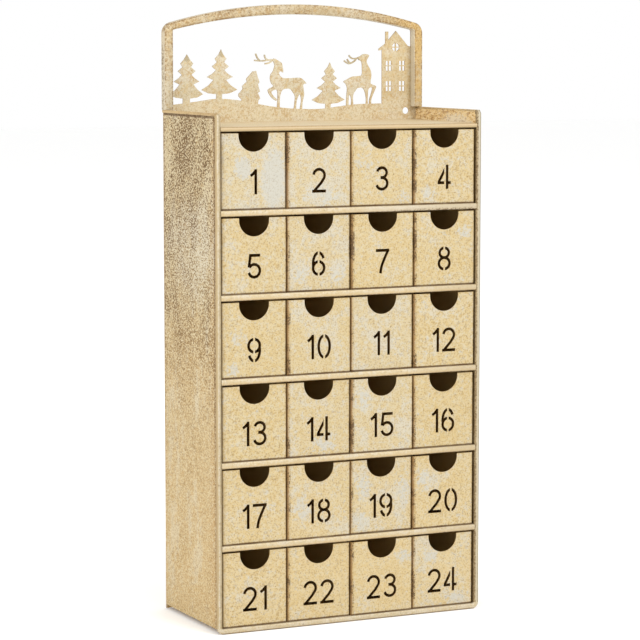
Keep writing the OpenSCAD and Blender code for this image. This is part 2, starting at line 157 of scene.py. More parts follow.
class Finish(Graph):
    apart = 31  # how far a shift of 1 moves a noise

    def __init__(self, name, piece=None):
        self.piece = piece
        self.material = bpy.data.materials.new(name)
        self.material.use_nodes = True
        super().__init__(self.material.node_tree)
        self.shader = self.tree.nodes["Principled BSDF"]
        where = self.node("ShaderNodeTexCoord", out="Object")
        self.spot = self.node("ShaderNodeVectorMath", {"operation": "SCALE"}, {0: where, "Scale": 1 / mm})
        self.x, self.y, self.z = self.split(self.spot)

    def feed(self, name, value):
        if isinstance(value, Wire):
            self.tree.links.new(value.socket, self.shader.inputs[name])
        else:
            self.shader.inputs[name].default_value = value

    def split(self, vector):
        x = self.node("ShaderNodeSeparateXYZ", {}, {0: vector})
        return x, x.out("Y"), x.out("Z")

    def facing(self):  # which way the surface looks
        return self.split(self.node("ShaderNodeNewGeometry", out="True Normal"))

    def moved(self, where, shift):
        return self.node("ShaderNodeVectorMath", {"operation": "ADD"}, {0: where, 1: (shift, shift, shift)})

    def noise(self, size=1.0, detail=3.0, rough=0.6, warp=0.0, stretch=None, shift=0.0):
        where = self.spot
        if stretch:
            where = self.node("ShaderNodeVectorMath", {"operation": "MULTIPLY"}, {0: where, 1: stretch})
        return self.node("ShaderNodeTexNoise", {}, {
            "Vector": self.moved(where, shift * self.apart), "Scale": 1.0 / size, "Detail": detail,
            "Roughness": rough, "Distortion": warp})

    def speckle(self, name):  # one of the piece's own noises
        return self.noise(**self.piece["noises"][name])

    def smooth(self, value, begin, full):
        return self.node("ShaderNodeMapRange", {"interpolation_type": "SMOOTHSTEP"}, {
            "Value": value, "From Min": begin, "From Max": full})

    def fade(self, value, name):  # one of the piece's own marks, 0 where it begins and 1 where it is full
        return self.smooth(value, *self.piece["fades"][name])

    def gain(self, measure, name):  # how strong one of the piece's marks is, by another measure
        least, more = self.piece["gains"][name]
        return least + measure * more

    def mix(self, share, a, b):
        return self.node("ShaderNodeMix", {"data_type": "RGBA"}, {0: share, 6: a, 7: b}, out=2)

    def lay(self, mask, share, tone):  # a tone over the colour so far
        shown = mask * share
        self.colour = self.mix(shown, self.colour, paint(*tone))
        return shown

    def flecks(self, spacing, size, share, shift=0.0):  # round dots in some of the cells of a loose grid
        cell = self.node("ShaderNodeTexVoronoi", {}, {
            "Vector": self.moved(self.spot, shift), "Scale": 1.0 / spacing})
        chance, width = self.split(cell.out("Color"))[:2]
        dot = self.smooth(cell * spacing, size * (0.5 + width), size * (0.15 + 0.5 * width))
        return dot * (chance < share)

    def patches(self, u, v, spots):  # 1 in the middle of some ellipses, 0 at their edges and beyond
        best = 0.0
        for middleU, middleV, wide, tall in spots:
            a, b = (u - middleU) / wide, (v - middleV) / tall
            best = (1 - (a * a + b * b)).most(best)
        return best


# the worn paint that every piece has: grounds lie under the grain, layers on top, pale lifts the chalk

coat = {
    "cloud": {"detail": 4.0, "rough": 0.62, "warp": 0.5},
    "dab": {"detail": 3.0, "rough": 0.72, "warp": 0.2, "shift": 3.1},
    "sand": {"size": 1.5, "detail": 2.0, "rough": 0.85, "shift": 7.7},
    "dust": {"size": 0.95, "detail": 0.0, "shift": 12.6},
    "streak": {"detail": 4.0, "rough": 0.6, "warp": 0.4, "shift": 5.3},
    "dabSize": 0.15, "dabShare": 0.6, "streakShare": 0.6,  # the size of a dab is a share of the patch
    "turns": {  # the noise's value where a tone begins, and where it is full
        "cream": (0.41, 0.59), "ochre": (0.45, 0.36), "chalk": (0.53, 0.68), "sandDark": (0.52, 0.65),
        "sandPale": (0.48, 0.35), "dustDark": (0.57, 0.72), "dustPale": (0.45, 0.28)},
    "frays": {"ochre": 0.6, "chalkDab": 0.7, "chalkSand": 0.4},
    "paleShare": 0.8,  # pale grains beside dark ones
    "flecks": {"spacing": 1.9, "size": 0.4},
    "blots": {"spacing": 5.2, "size": 0.55, "shift": 11.0},
    "blotShare": 0.6, "fleckTint": 0.55, "fleckWear": 0.5,
    "roughBy": {"chalk": 0.12, "sand": 0.25, "worn": 0.15},
    "heightBy": {"sand": 0.7, "chalk": 0.5, "worn": 0.6},
    "dulled": 0.7, "specular": 0.3, "bump": 0.35, "bumpHeight": 0.12,
}


def patina(name, piece, layers=None, pale=None, grounds=None):
    f = Finish(name, piece)
    look, turns, frays = piece["look"], coat["turns"], coat["frays"]
    f.cloud = f.noise(look["patch"], **coat["cloud"])
    f.dab = f.noise(look["patch"] * coat["dabSize"], **coat["dab"])
    f.sand = f.noise(**coat["sand"])
    dust = f.noise(**coat["dust"])
    if "streak" in look:
        streak = f.noise(stretch=look["streak"], **coat["streak"])
        f.cloud = f.cloud * (1 - coat["streakShare"]) + streak * coat["streakShare"]
    mottle = f.cloud * (1 - coat["dabShare"]) + f.dab * coat["dabShare"]
    f.colour = f.mix(f.smooth(mottle, *turns["cream"]), paint(*look["gold"]), paint(*look["cream"]))
    for mark, mask in (grounds(f) if grounds else {}).items():
        f.lay(mask, *piece["tints"][mark])
    f.lay(f.smooth(f.dab.frayed(f.sand, frays["ochre"]), *turns["ochre"]), look["ochreShare"], look["ochre"])
    lift = f.cloud.frayed(f.dab, frays["chalkDab"]).frayed(f.sand, frays["chalkSand"])
    chalk = f.smooth(lift + pale(f) if pale else lift, *turns["chalk"])
    f.lay(chalk, look["chalkShare"], look["chalk"])
    f.lay(f.smooth(f.sand, *turns["sandDark"]), look["grain"], look["grit"])
    f.lay(f.smooth(f.sand, *turns["sandPale"]), look["grain"] * coat["paleShare"], look["chalk"])
    f.lay(f.smooth(dust, *turns["dustDark"]), look["dust"], look["grit"])
    f.lay(f.smooth(dust, *turns["dustPale"]), look["dust"] * coat["paleShare"], look["chalk"])
    blots = f.flecks(share=look["dots"] * coat["blotShare"], **coat["blots"])
    dots = f.flecks(share=look["dots"], **coat["flecks"]).most(blots)
    f.lay(dots, coat["fleckTint"], look["dark"])
    worn = dots * coat["fleckWear"]
    for mark, mask in (layers(f) if layers else {}).items():
        worn = worn.most(f.lay(mask, *piece["tints"][mark]))
    roughBy, heightBy = coat["roughBy"], coat["heightBy"]
    roughness = look["rough"] + chalk * roughBy["chalk"] + worn * roughBy["worn"]
    f.feed("Base Color", f.colour)
    f.feed("Roughness", roughness.frayed(f.sand, roughBy["sand"]))
    f.feed("Metallic", look["metal"] * (1 - (chalk * coat["dulled"]).most(worn)))
    f.feed("Specular IOR Level", coat["specular"])
    f.feed("Normal", f.node("ShaderNodeBump", {}, {
        "Strength": coat["bump"], "Distance": coat["bumpHeight"] * mm,
        "Height": f.sand * heightBy["sand"] + chalk * heightBy["chalk"] - worn * heightBy["worn"]}))
    return f.material


# drawers

drawer = {
    "look": {
        "gold": (227, 202, 146), "cream": (229, 210, 166), "ochre": (222, 190, 122), "ochreShare": 0.34,
        "chalk": (220, 216, 204), "chalkShare": 0.55, "grit": (158, 128, 78), "grain": 0.36,
        "dark": (110, 80, 42), "dots": 0.26, "dust": 0.42, "patch": 17.0, "rough": 0.5, "metal": 0.2},
    "tints": {  # share and tone of each mark
        "whitened": (0.65, (225, 212, 180)), "low": (0.35, (243, 219, 168)), "bare": (0.5, (212, 215, 214)),
        # the bend, fold and edge dirt tones darken the drawers' edges as painted shade of the gaps between
        # them; the dots on the left edges are dirt
        "bend": (0.7, (202, 164, 98)), "fold": (0.8, (140, 100, 48)), "dirtAndGapShade": (0.8, (74, 48, 20)),
        # the foot tone is a painted shadow line along the bottom of each drawer
        "foot": (1.0, (92, 62, 26)), "rim": (0.5, (202, 164, 98)), "seam": (0.8, (74, 48, 20)),
        # the inside tone is brighter than the paint outside: painted light that lifts the shade within the
        # drawers
        "cut": (1.0, (128, 86, 40)), "inside": (1.0, (262, 226, 154))},
    "fades": {  # where each mark begins and where it is full, in mm or as a noise's value
        "whitened": (-0.05, 0.14), "low": (150.0, 20.0), "front": (5.0, 1.5), "bare": (0.35, 1.1),
        "leftBend": (3.0, 1.0), "rightBend": (1.5, 0.3), "fold": (1.3, 0.4), "leftDirt": (2.6, 1.8),
        "leftCrumbs": (0.53, 0.58), "rightGapShade": (1.3, 0.5), "rightCrumbs": (0.52, 0.6), "foot": (1.5, 0.9),
        "rim": (0.5, 0.05), "seam": (0.4, 0.15)},
    "frays": {"bareDab": 4.5, "bareSand": 2.0, "fold": 2.6, "leftDirt": 0.7, "rightGapShade": 0.5, "foot": 0.8},
    "noises": {
        "crumbs": {"size": 1.1, "detail": 2.0, "rough": 0.8, "shift": 1.9},
        "ragged": {"size": 11.0, "detail": 2.0, "rough": 0.6, "shift": 2.4}},
    "sheet": 0.6, "film": 0.05, "cutFrom": 0.06, "corner": 1.3, "frontDepth": 3.0, "footDepth": 0.4,
    "gains": {"bend": (0.2, 1.0), "foot": (0.6, 0.6), "inside": (0.7, 0.4)},
    "firstColumnLighter": 0.75, "bareLift": 0.15, "barestTimes": 2.0, "footMost": 0.95,
    "chalky": {
        1: 0.1, 2: 0.1, 3: 0.02, 4: 0.0, 5: -0.01, 6: 0.06, 7: -0.06, 9: -0.1, 10: 0.03, 11: 0.08, 13: -0.08,
        14: 0.03, 15: 0.05, 18: 0.02, 19: 0.05, 23: -0.06, 24: 0.03},
    "usual": -0.03,  # for drawers not named above
    "barest": [(-57, 306, 11, 24), (-80, 314, 8, 9)],  # x, z, half width, half height
    "bare": [
        (-22, 294, 18, 9), (10, 315, 10, 7), (41, 291, 7, 6), (59, 293, 7, 7), (-37, 242, 9, 10),
        (-9, 240, 8, 10), (88, 266, 8, 6), (-84, 200, 9, 7), (-88, 179, 6, 7), (-19, 126, 13, 9),
        (8, 153, 9, 9), (-37, 80, 9, 12), (9, 93, 8, 12), (42, 88, 8, 14), (8, 69, 8, 9), (56, 94, 7, 12),
        (40, 42, 9, 6), (62, 40, 8, 7), (82, 9, 11, 7)],
}
drawerNumbers = range(1, 25)


def drawerGrounds(f):
    barest = f.patches(f.x, f.z, drawer["barest"]) * drawer["barestTimes"]
    f.bare = f.patches(f.x, f.z, drawer["bare"]).most(barest) * (f.y < low.y + drawer["frontDepth"])
    f.pale = f.node("ShaderNodeAttribute", {"attribute_name": "pale"}, out="Fac")
    return {"whitened": f.fade(f.pale, "whitened"), "low": f.fade(f.z, "low")}


def drawerPale(f):
    return f.pale + f.bare * drawer["bareLift"]


def drawerLayers(f):
    frays, film = drawer["frays"], drawer["film"]
    lo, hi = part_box("drawer_01_wall")
    wide, deep, tall = (hi - lo) / mm
    x, y, z = f.split(f.node("ShaderNodeAttribute", {"attribute_name": "own"}, out="Vector"))
    left, right = x + wide / 2, wide / 2 - x
    crumbs, ragged = f.speckle("crumbs"), f.speckle("ragged")
    front = f.fade(y, "front")
    firstColumn = f.x < low.x + wide / 2  # the bead hides the gap at its left, so its folds get less painted shade and dirt
    shadeAndSoil = 1 - firstColumn * drawer["firstColumnLighter"]
    # the bends and the left fold are darkened as painted shade where the sheet turns into the gap
    bend = (f.fade(left, "leftBend") * shadeAndSoil).most(f.fade(right, "rightBend"))
    leftCrumbs = f.fade(crumbs.frayed(ragged, frays["leftDirt"]), "leftCrumbs")
    rightCrumbs = f.fade(crumbs.frayed(ragged, frays["rightGapShade"]), "rightCrumbs")
    leftDirt = f.fade(left, "leftDirt") * leftCrumbs * shadeAndSoil
    # painted gap shade: a broken dark line along the right edge
    rightGapShade = f.fade(right, "rightGapShade") * rightCrumbs
    # painted shadow: a dark line along the foot of the front
    foot = f.fade(z.frayed(crumbs, frays["foot"]), "foot") * (y < drawer["footDepth"])
    skin = drawer["sheet"] - film
    # painted light: the inside gets a brighter tone to lift its shade
    inside = (y > skin) * (y < deep - skin) * (left > skin) * (right > skin)
    cut = (y > drawer["cutFrom"]) * (y < skin) * (left > drawer["corner"]) * (right > drawer["corner"])
    return {
        "bare": f.fade(f.bare.frayed(f.dab, frays["bareDab"]).frayed(f.sand, frays["bareSand"]), "bare"),
        "bend": bend * front * f.gain(ragged, "bend"),
        "fold": f.fade(left.frayed(crumbs, frays["fold"]), "fold") * front * shadeAndSoil,
        "dirtAndGapShade": leftDirt.most(rightGapShade) * front,
        "foot": (foot * f.gain(ragged, "foot")).least(drawer["footMost"]),
        "rim": f.fade(tall - z, "rim"),
        "seam": f.fade(abs(x), "seam") * (y > deep - film),
        "cut": cut,
        "inside": inside * f.gain(f.cloud, "inside"),
    }


shaping = {"merge": 0.002, "flat": 0.5, "sharp": 32}  # mm and degrees


def meshCopy(node, name):  # a CAD node's own shape, with its triangles joined to flat faces
    made = bpy.data.objects.new(name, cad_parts[node].data.copy())
    made.data.name = name
    body = bmesh.new()
    body.from_mesh(made.data)
    bmesh.ops.remove_doubles(body, verts=body.verts, dist=shaping["merge"] * mm)
    flat = math.radians(shaping["flat"])
    bmesh.ops.dissolve_limit(body, angle_limit=flat, verts=body.verts, edges=body.edges)
    body.to_mesh(made.data)
    body.free()
    scene.collection.objects.link(made)
    return made


def dress(made, material, slot, *nodes):
    made.data.materials.clear()
    made.data.materials.append(material)
    made.data.shade_smooth()
    made.data.set_sharp_from_angle(angle=math.radians(shaping["sharp"]))
    if nodes:
        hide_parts(*nodes)


drawerPaint = patina("drawerPaint", drawer, drawerLayers, drawerPale, drawerGrounds)
for number in drawerNumbers:
    node = f"drawer_{number:02d}_wall"
    lo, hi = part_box(node)
    frontMiddle = Vector(((lo.x + hi.x) / 2, lo.y, lo.z))
    wall = meshCopy(node, f"drawerWall_{number:02d}")
    own = wall.data.attributes.new("own", "FLOAT_VECTOR", "POINT")
    for index, vertex in enumerate(wall.data.vertices):
        own.data[index].vector = (vertex.co - frontMiddle) / mm
    pale = wall.data.attributes.new("pale", "FLOAT", "POINT")  # after own is filled, as it moves own's data
    for index in range(len(wall.data.vertices)):
        pale.data[index].value = drawer["chalky"].get(number, drawer["usual"])
    dress(wall, drawerPaint, "drawers", node)
    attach(wall, f"drawer_{number:02d}")
print("drawers dressed")


# base plates inside the drawers

basePlate = {
    "look": {
        "gold": (232, 200, 138), "cream": (238, 210, 152), "ochre": (218, 180, 112), "ochreShare": 0.6,
        "chalk": (240, 220, 176), "chalkShare": 0.5, "grit": (140, 104, 56), "grain": 0.3,
        "dark": (96, 68, 32), "dots": 0.3, "dust": 0.3, "patch": 22.0, "rough": 0.55, "metal": 0.2},
}

basePaint = patina("basePaint", basePlate)
for number in drawerNumbers:
    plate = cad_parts[f"drawer_{number:02d}_base"]
    plate.data.materials.clear()
    plate.data.materials.append(basePaint)
print("base plates painted")


# cabinet sizes

cabinet = {
    "bead": 3.5, "beadDepth": 3.2, "beadRound": 1.1, "corner": 4.22, "topCorner": 3.4, "cornerSteps": 6,
    "proud": 1.4, "sheet": 0.8, "hem": 1.8, "hemTall": 2.0, "hemRound": 0.6,
    "shelfStrip": 4.0, "topStrip": 3.0,
    "inside": (1.0, (204, 166, 104)),  # share and tone of the sheets where the drawers are
}
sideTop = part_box("left_side")[1].z / mm
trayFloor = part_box("top_panel")[1].z / mm
trayMiddle = trayFloor - cabinet["sheet"] / 2  # halfway through the sheet of the tray's floor
shelfTops = [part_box(f"shelf_{i}")[1].z / mm for i in range(1, 6)]  # from the top down
shelfStep = (shelfTops[0] - shelfTops[-1]) / (len(shelfTops) - 1)
outerX = high.x - cabinet["proud"]
sheetIn = outerX - cabinet["sheet"]
beadIn = high.x - cabinet["bead"]
sheetY = (low.y + cabinet["beadDepth"] / 2, high.y - cabinet["sheet"])
sheetZ = (cabinet["bead"] - cabinet["sheet"], sideTop - cabinet["hemTall"] / 2)


# finish of the side sheets: sooty above, golden below, rust and bare metal on the walls of the tray

side = {
    "look": {
        "gold": (222, 193, 134), "cream": (225, 202, 150), "ochre": (214, 176, 108), "ochreShare": 0.5,
        "chalk": (230, 214, 182), "chalkShare": 0.7, "grit": (150, 116, 68), "grain": 0.36,
        "dark": (104, 76, 40), "dots": 0.25, "dust": 0.4, "patch": 26.0, "streak": (0.12, 0.12, 0.03),
        "rough": 0.52, "metal": 0.2},
    "tints": {
        "greyed": (0.55, (212, 194, 158)), "warm": (0.5, (222, 182, 112)), "stain": (0.7, (168, 128, 64)),
        "band": (0.7, (212, 168, 98)), "golden": (0.6, (216, 180, 116)), "soot": (1.0, (106, 76, 32)),
        # the line tone is a painted shadow behind the bead, and soot grains along the back edge
        "glint": (1.0, (238, 225, 190)), "frost": (0.6, (228, 222, 206)), "line": (1.0, (116, 82, 36)),
        # the tray wall tones are painted brighter than the side's paint, as painted light lifting the shade
        # between the tray's walls; the rust and bare patches on them are real
        "underHem": (1.0, (100, 70, 30)), "trayWall": (0.9, (264, 231, 168)),
        "trayRust": (0.7, (172, 120, 58)), "trayBare": (0.9, (255, 244, 220)),
        "trayDark": (0.55, (180, 130, 70)), "trayGlint": (0.7, (258, 242, 210)),
        "inside": cabinet["inside"]},
    "fades": {
        "rise": (40.0, 310.0), "stain": (0.1, 1.2), "band": (19.0, 8.0), "streaks": (0.4, 0.56),
        "soot": (0.56, 0.605), "glint": (0.47, 0.4), "frost": (0.1, 0.9), "frostGrains": (0.53, 0.45),
        "beadShadowLine": (8.6, 7.2), "backLine": (91.0, 94.0), "backGrains": (0.42, 0.54), "underHem": (4.0, 3.2),
        "trayRust": (0.5, 0.58), "trayBare": (0.3, 0.6), "trayDark": (0.54, 0.6), "trayGlint": (0.46, 0.4)},
    "frays": {"thick": 2.4, "frost": 3.0, "line": 1.8, "bareDab": 2.4, "bareGrains": 3.0},
    "gains": {
        "band": (0.4, 1.0), "line": (0.35, 0.45), "underHem": (0.25, 1.2), "soot": (0.25, 0.7),
        "glint": (0.75, 0.1)},
    "thickBy": {"rise": 0.5, "sooty": 0.3, "bare": 0.5},
    "noises": {
        "streaks": {"detail": 3.0, "rough": 0.7, "warp": 0.3, "stretch": (0.2, 0.2, 0.05), "shift": 10.3},
        "drift": {"detail": 3.0, "rough": 0.62, "warp": 0.4, "stretch": (0.06, 0.06, 0.03), "shift": 8.2},
        "grains": {"detail": 2.0, "rough": 0.8, "stretch": (0.6, 0.6, 0.85), "shift": 4.4},
        "trayGrains": {"detail": 2.0, "rough": 0.8, "stretch": (0.34, 0.34, 0.9), "shift": 6.1}},
    "sooty": [(0, 318, 42, 66), (32, 212, 26, 24), (-4, 184, 54, 30)],  # y, z, half width, half height
    "bare": [
        (41, 322, 9, 26), (-34, 341, 9, 12), (-30, 300, 10, 20), (-24, 262, 14, 30), (30, 128, 17, 50),
        (-14, 158, 12, 30), (-8, 62, 15, 46), (34, 48, 14, 36)],
    "bareTray": [(-14, 341, 26, 7)],
    "frosty": [(-6, 256, 62, 44)],
    "golden": [(-4, 176, 70, 40)],
    "bareLift": 0.48, "chalkDrop": 0.05, "sootBy": 0.07, "frostBy": 0.9, "hemMost": 0.95,
}


def sidePale(f):
    bare = f.patches(f.y, f.z, side["bare"]) * f.fade(f.speckle("streaks"), "streaks")
    return bare * side["bareLift"] - side["chalkDrop"]


def sideGrounds(f):
    drift, by = f.speckle("drift"), side["thickBy"]
    f.rise = f.fade(f.z, "rise")
    sooty, bare = f.patches(f.y, f.z, side["sooty"]), f.patches(f.y, f.z, side["bare"])
    f.thick = f.rise * by["rise"] + sooty * by["sooty"] - bare * by["bare"]
    f.thick = f.thick.frayed(drift, side["frays"]["thick"])
    return {
        "greyed": f.rise,
        "warm": 1 - f.rise,
        "stain": f.fade(f.thick, "stain"),
        "band": f.fade(f.y - low.y, "band") * f.gain(drift, "band"),
        "golden": f.patches(f.y, f.z, side["golden"]),
    }


def sideLayers(f):
    frays, depth = side["frays"], f.y - low.y
    grains, trayGrains = f.speckle("grains"), f.speckle("trayGrains")
    frost = (f.patches(f.y, f.z, side["frosty"]) * side["frostBy"]).frayed(f.cloud, frays["frost"])
    # painted shadow: a dark band on the sheet just behind the bead
    beadShadowLine = f.fade(depth, "beadShadowLine") * f.gain(f.rise, "line").frayed(grains, frays["line"])
    backLine = f.fade(depth, "backLine") * f.fade(grains, "backGrains") * f.rise
    underHem = f.fade(sideTop - f.z, "underHem") * f.gain(grains, "underHem")
    innerFace = abs(f.x) < sheetIn + cabinet["sheet"] / 2
    trayWall = innerFace * (f.z > trayMiddle)
    trayBare = f.patches(f.y, f.z, side["bareTray"]).frayed(f.dab, frays["bareDab"])
    trayBare = f.fade(trayBare.frayed(trayGrains, frays["bareGrains"]), "trayBare")
    return {
        "soot": f.fade(grains + f.thick * side["sootBy"], "soot") * f.gain(f.rise, "soot"),
        "glint": f.fade(grains, "glint") * f.gain(f.rise, "glint"),
        "frost": f.fade(frost, "frost") * f.fade(grains, "frostGrains"),
        "line": beadShadowLine.most(backLine).most(0.0),
        "underHem": underHem.most(0.0).least(side["hemMost"]),
        # painted light: the tray's inner walls get a brighter tone to lift their shade
        "trayWall": trayWall,
        "trayRust": trayWall * f.fade(trayGrains, "trayRust"),
        "trayBare": trayWall * trayBare,
        "trayDark": trayWall * f.fade(trayGrains, "trayDark"),
        "trayGlint": trayWall * f.fade(trayGrains, "trayGlint"),
        "inside": innerFace * (f.z < trayMiddle),
    }


# finish of the rolled edges: the front bead and the hems behind it

bead = {
    "look": {
        "gold": (219, 203, 170), "cream": (227, 215, 189), "ochre": (214, 184, 130), "ochreShare": 0.3,
        "chalk": (232, 222, 202), "chalkShare": 0.7, "grit": (172, 140, 90), "grain": 0.22,
        "dark": (120, 90, 50), "dots": 0.2, "dust": 0.2, "patch": 14.0, "rough": 0.46, "metal": 0.2},
    "tints": {
        # outer, flank, inner and deepest tones are painted shade of the bead's round profile and of the gap
        # by the drawers; between flank and inner the untinted bead is a narrow painted highlight
        "outer": (0.75, (186, 154, 100)), "outerSoil": (0.5, (150, 110, 52)), "flankShade": (0.7, (190, 163, 114)),
        "inner": (0.7, (190, 172, 134)), "innerSoil": (0.3, (132, 102, 58)), "beadGapShade": (0.4, (150, 120, 68)),
        "rightCrest": (0.7, (216, 204, 178)), "rightEdge": (0.85, (152, 144, 122)),
        "rightSoil": (1.0, (112, 86, 48)), "hem": (0.8, (224, 194, 142)), "hemSoil": (0.45, (140, 102, 50)),
        "foot": (0.6, (190, 150, 88))},
    "fades": {
        "soil": (0.47, 0.56), "outer": (0.7, 1.5), "flankShade": (1.0, 0.5), "inner": (1.5, 2.2),
        "beadGapShade": (2.6, 3.2), "rightCrest": (0.9, 1.4), "rightCrestEnd": (2.9, 2.2), "rightEdge": (1.3, 0.8),
        "rightSoil": (1.9, 2.7), "rightCrumbs": (0.44, 0.56), "rightRise": (250.0, 300.0),
        "foot": (0.9, 0.3)},
    "frays": {"soil": 0.5, "flankShade": 1.2, "inner": 0.8, "rightEdge": 0.8},
    "gains": {"rightSoil": (0.65, 0.25)},
    "noises": {
        "crumbs": {"size": 1.1, "detail": 2.0, "rough": 0.8, "shift": 1.3},
        "ragged": {"size": 22.0, "detail": 3.0, "rough": 0.6, "shift": 2.8}},
    "outerWidth": 1.7, "outerSet": 0.5, "hemFrom": 4.5,
}


def beadLayers(f):
    frays = bead["frays"]
    across, depth = high.x - abs(f.x), f.y - low.y  # from the outer edge inwards, from the front backwards
    crumbs, ragged = f.speckle("crumbs"), f.speckle("ragged")
    onRight, hem = f.x > 0.0, depth > bead["hemFrom"]
    upright = f.z > cabinet["corner"]
    uprightFront = upright * (depth < bead["hemFrom"])
    soil = f.fade(crumbs.frayed(ragged, frays["soil"]), "soil")
    # painted shade on the bead's outer side
    outer = f.fade(depth - onRight * bead["outerSet"], "outer") * (across < bead["outerWidth"])
    inner = f.fade(across.frayed(ragged, frays["inner"]), "inner") * uprightFront
    right = onRight * upright
    rightSoil = right * f.fade(across, "rightSoil") * f.fade(crumbs, "rightCrumbs")
    # outer, flank, inner and deepest are painted shade across the bead's round profile and beside the gap to
    # the drawers, leaving a narrow painted highlight between flank and inner
    return {
        "outer": outer,
        "outerSoil": outer * soil,
        "flankShade": f.fade(across.frayed(ragged, frays["flankShade"]), "flankShade") * uprightFront * (f.x < 0.0),
        "inner": inner,
        "innerSoil": inner * soil,
        "beadGapShade": f.fade(across, "beadGapShade") * upright,
        "rightCrest": right * f.fade(across, "rightCrest") * f.fade(across, "rightCrestEnd"),
        "rightEdge": right * f.fade(across.frayed(crumbs, frays["rightEdge"]), "rightEdge"),
        "rightSoil": rightSoil * f.gain(f.fade(f.z, "rightRise"), "rightSoil"),
        "hem": hem,
        "hemSoil": hem * soil,
        "foot": f.fade(f.z, "foot"),
    }


# finish of the shelves, the bottom and the floor of the tray

shelf = {
    "look": dict(bead["look"], gold=(227, 208, 168), cream=(232, 218, 188), dots=0.14),
    "tints": {
        # the low half and low edge tones darken each strip's lower half and edge as painted shade, the edge
        # broken by soil
        "lowHalfShade": (0.5, (222, 192, 138)), "chalked": (0.5, (222, 215, 200)), "dull": (0.5, (202, 184, 150)),
        "lowEdgeShade": (1.0, (132, 96, 50)), "sooty": (0.8, (104, 80, 48)), "inside": cabinet["inside"],
        # the crest tone is a painted highlight just below the top strip's upper edge, the groove tone a
        # painted shade line along that edge
        "topStrip": (0.8, (209, 184, 140)), "crest": (0.55, (238, 216, 180)), "tray": (0.8, (248, 228, 188)),
        "trayPale": (0.4, (252, 238, 208)), "traySoil": (0.35, (204, 166, 106)),
        "grooveShade": (1.0, (186, 154, 106))},
    "fades": {
        "back": (2.0, 3.1), "soil": (0.48, 0.58), "lowHalfShade": (1.4, 2.8), "lowEdgeShade": (3.1, 3.7),
        "chalked": (-20.0, 40.0), "dull": (35.0, 92.0), "sooty": (10.0, 70.0), "sootyLow": (1.8, 3.2),
        "crest": (1.7, 1.1), "grooveShade": (0.9, 0.5), "trayPale": (0.5, 0.62)},
    "noises": {"crumbs": {"size": 1.1, "detail": 2.0, "rough": 0.8, "shift": 1.3}},
    "gains": {"lowEdgeShade": (0.25, 0.5), "grooveShade": (0.5, 0.3)},
    "nudge": 0.0004,  # of a step, keeps the top face of a shelf out of its strip
    "film": 0.3, "stripSlack": 0.2, "firstMiddle": 2.2, "firstHalf": 1.9,
}


def shelfLayers(f):
    soil = f.fade(f.speckle("crumbs"), "soil")
    back = f.fade(f.y - low.y, "back")
    onTray = f.z > trayFloor - shelf["film"]
    tray = back * onTray
    fromTop = trayFloor - f.z
    topStrip = (fromTop < cabinet["topStrip"] + shelf["stripSlack"]) * (1 - back)
    steps = (f.z - cabinet["bead"]) / shelfStep + shelf["nudge"]
    rise = f.node("ShaderNodeMath", {"operation": "FRACT"}, {0: steps})
    below = (1 - rise) * shelfStep  # mm under the top of the next shelf
    strip = below < cabinet["shelfStrip"]
    firstShelf = abs(f.z - (shelfTops[0] - shelf["firstMiddle"])) < shelf["firstHalf"]
    return {
        # painted shade on the lower half of each strip and along its lower edge
        "lowHalfShade": strip * f.fade(below, "lowHalfShade"),
        "chalked": firstShelf * f.fade(f.x, "chalked"),
        "dull": strip * f.fade(f.x, "dull"),
        "lowEdgeShade": strip * f.fade(below, "lowEdgeShade") * f.gain(soil, "lowEdgeShade"),
        "sooty": firstShelf * f.fade(f.x, "sooty") * f.fade(below, "sootyLow") * soil,
        "inside": back * (1 - onTray),
        "topStrip": topStrip,
        # painted highlight below the top strip's upper edge
        "crest": topStrip * f.fade(fromTop, "crest"),
        "tray": tray,
        "trayPale": tray * f.fade(f.cloud, "trayPale"),
        "traySoil": tray * soil,
        # painted shade along the upper edge of the top strip, broken by soil
        "grooveShade": topStrip * f.fade(fromTop, "grooveShade") * f.gain(soil, "grooveShade"),
    }


sidePaint = patina("sidePaint", side, sideLayers, sidePale, sideGrounds)
beadPaint = patina("beadPaint", bead, beadLayers)
shelfPaint = patina("shelfPaint", shelf, shelfLayers)


# side and bottom sheets, which aren't quite flat

wave = {
    "height": 0.16, "swells": 4, "along": (0.6, 2.2), "up": (0.5, 3.0), "start": (0, 6.3), "pitch": 3.1,
    "edge": 8,  # how fast it dies out towards the edges
    "sideCells": (20, 70), "floorCells": (2, 2),
}


def waved(name, axis, at, spanA, spanB, cells):
    body = bmesh.new()
    chance = random.Random(name)
    swells = [[chance.uniform(*wave[key]) for key in ("along", "up", "start")] for _ in range(wave["swells"])]
    grid = []
    for j in range(cells[1] + 1):
        for i in range(cells[0] + 1):
            u, v = i / cells[0], j / cells[1]
            calm = min(1.0, wave["edge"] * u * (1 - u)) * min(1.0, wave["edge"] * v * (1 - v))
            bulge = sum(math.sin((a * u + b * v) * wave["pitch"] + c) for a, b, c in swells) / wave["swells"]
            place = [spanA[0] + u * (spanA[1] - spanA[0]), spanB[0] + v * (spanB[1] - spanB[0])]
            place.insert(axis, at + wave["height"] * calm * bulge)
            grid.append(body.verts.new(Vector(place) * mm))
    row = cells[0] + 1
    for j in range(cells[1]):
        for i in range(cells[0]):
            k = j * row + i
            body.faces.new([grid[k], grid[k + 1], grid[k + row + 1], grid[k + row]])
    thick = Vector((0, 0, 0))
    thick[axis] = cabinet["sheet"] * mm
    skin = bmesh.ops.extrude_face_region(body, geom=body.faces[:])
    bmesh.ops.translate(body, vec=thick, verts=[g for g in skin["geom"] if isinstance(g, bmesh.types.BMVert)])
    bmesh.ops.recalc_face_normals(body, faces=body.faces[:])
    mesh = bpy.data.meshes.new(name)
    body.to_mesh(mesh)
    body.free()
    made = bpy.data.objects.new(name, mesh)
    scene.collection.objects.link(made)
    return made


